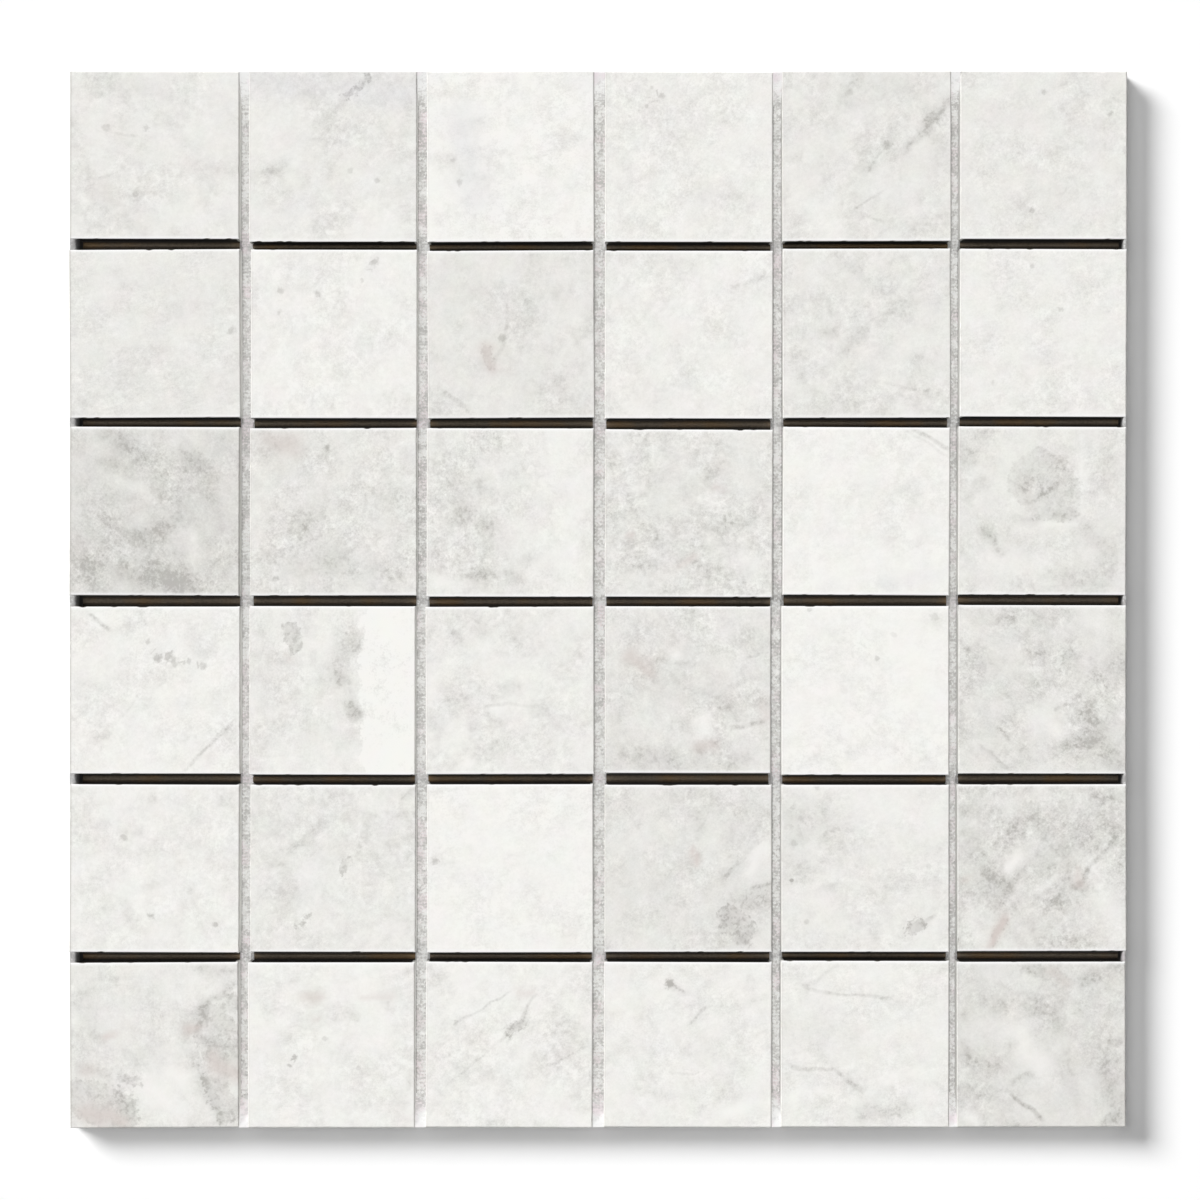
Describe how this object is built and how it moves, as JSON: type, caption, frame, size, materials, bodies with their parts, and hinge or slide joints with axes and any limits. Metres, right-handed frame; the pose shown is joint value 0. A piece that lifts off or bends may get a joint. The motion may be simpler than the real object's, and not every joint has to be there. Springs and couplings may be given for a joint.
{
  "type": "mosaic tile sheet",
  "caption": "Square sheet of honed white marble mosaic tiles in a straight grid with open joints, glued face up on a glass-fibre backing mesh.",
  "frame": {"origin": "middle of the sheet's underside, on the plane that the backing mesh lies on", "axes": "+X along the rows of tiles, +Y up the columns, +Z out of the polished faces"},
  "size_m": [0.3039, 0.3036, 0.01],
  "materials": {
    "honed_marble": "honed",
    "glass_fibre_mesh": "resin-coated woven yarn"
  },
  "bodies": {
    "root": {"tile_r1_c1": "honed_marble", "tile_r1_c2": "honed_marble", "tile_r1_c3": "honed_marble", "tile_r1_c4": "honed_marble", "tile_r1_c5": "honed_marble", "tile_r1_c6": "honed_marble", "tile_r2_c1": "honed_marble", "tile_r2_c2": "honed_marble", "tile_r2_c3": "honed_marble", "tile_r2_c4": "honed_marble", "tile_r2_c5": "honed_marble", "tile_r2_c6": "honed_marble", "tile_r3_c1": "honed_marble", "tile_r3_c2": "honed_marble", "tile_r3_c3": "honed_marble", "tile_r3_c4": "honed_marble", "tile_r3_c5": "honed_marble", "tile_r3_c6": "honed_marble", "tile_r4_c1": "honed_marble", "tile_r4_c2": "honed_marble", "tile_r4_c3": "honed_marble", "tile_r4_c4": "honed_marble", "tile_r4_c5": "honed_marble", "tile_r4_c6": "honed_marble", "tile_r5_c1": "honed_marble", "tile_r5_c2": "honed_marble", "tile_r5_c3": "honed_marble", "tile_r5_c4": "honed_marble", "tile_r5_c5": "honed_marble", "tile_r5_c6": "honed_marble", "tile_r6_c1": "honed_marble", "tile_r6_c2": "honed_marble", "tile_r6_c3": "honed_marble", "tile_r6_c4": "honed_marble", "tile_r6_c5": "honed_marble", "tile_r6_c6": "honed_marble", "mesh_weft_threads": "glass_fibre_mesh", "mesh_warp_threads": "glass_fibre_mesh"}
  },
  "joints": []
}
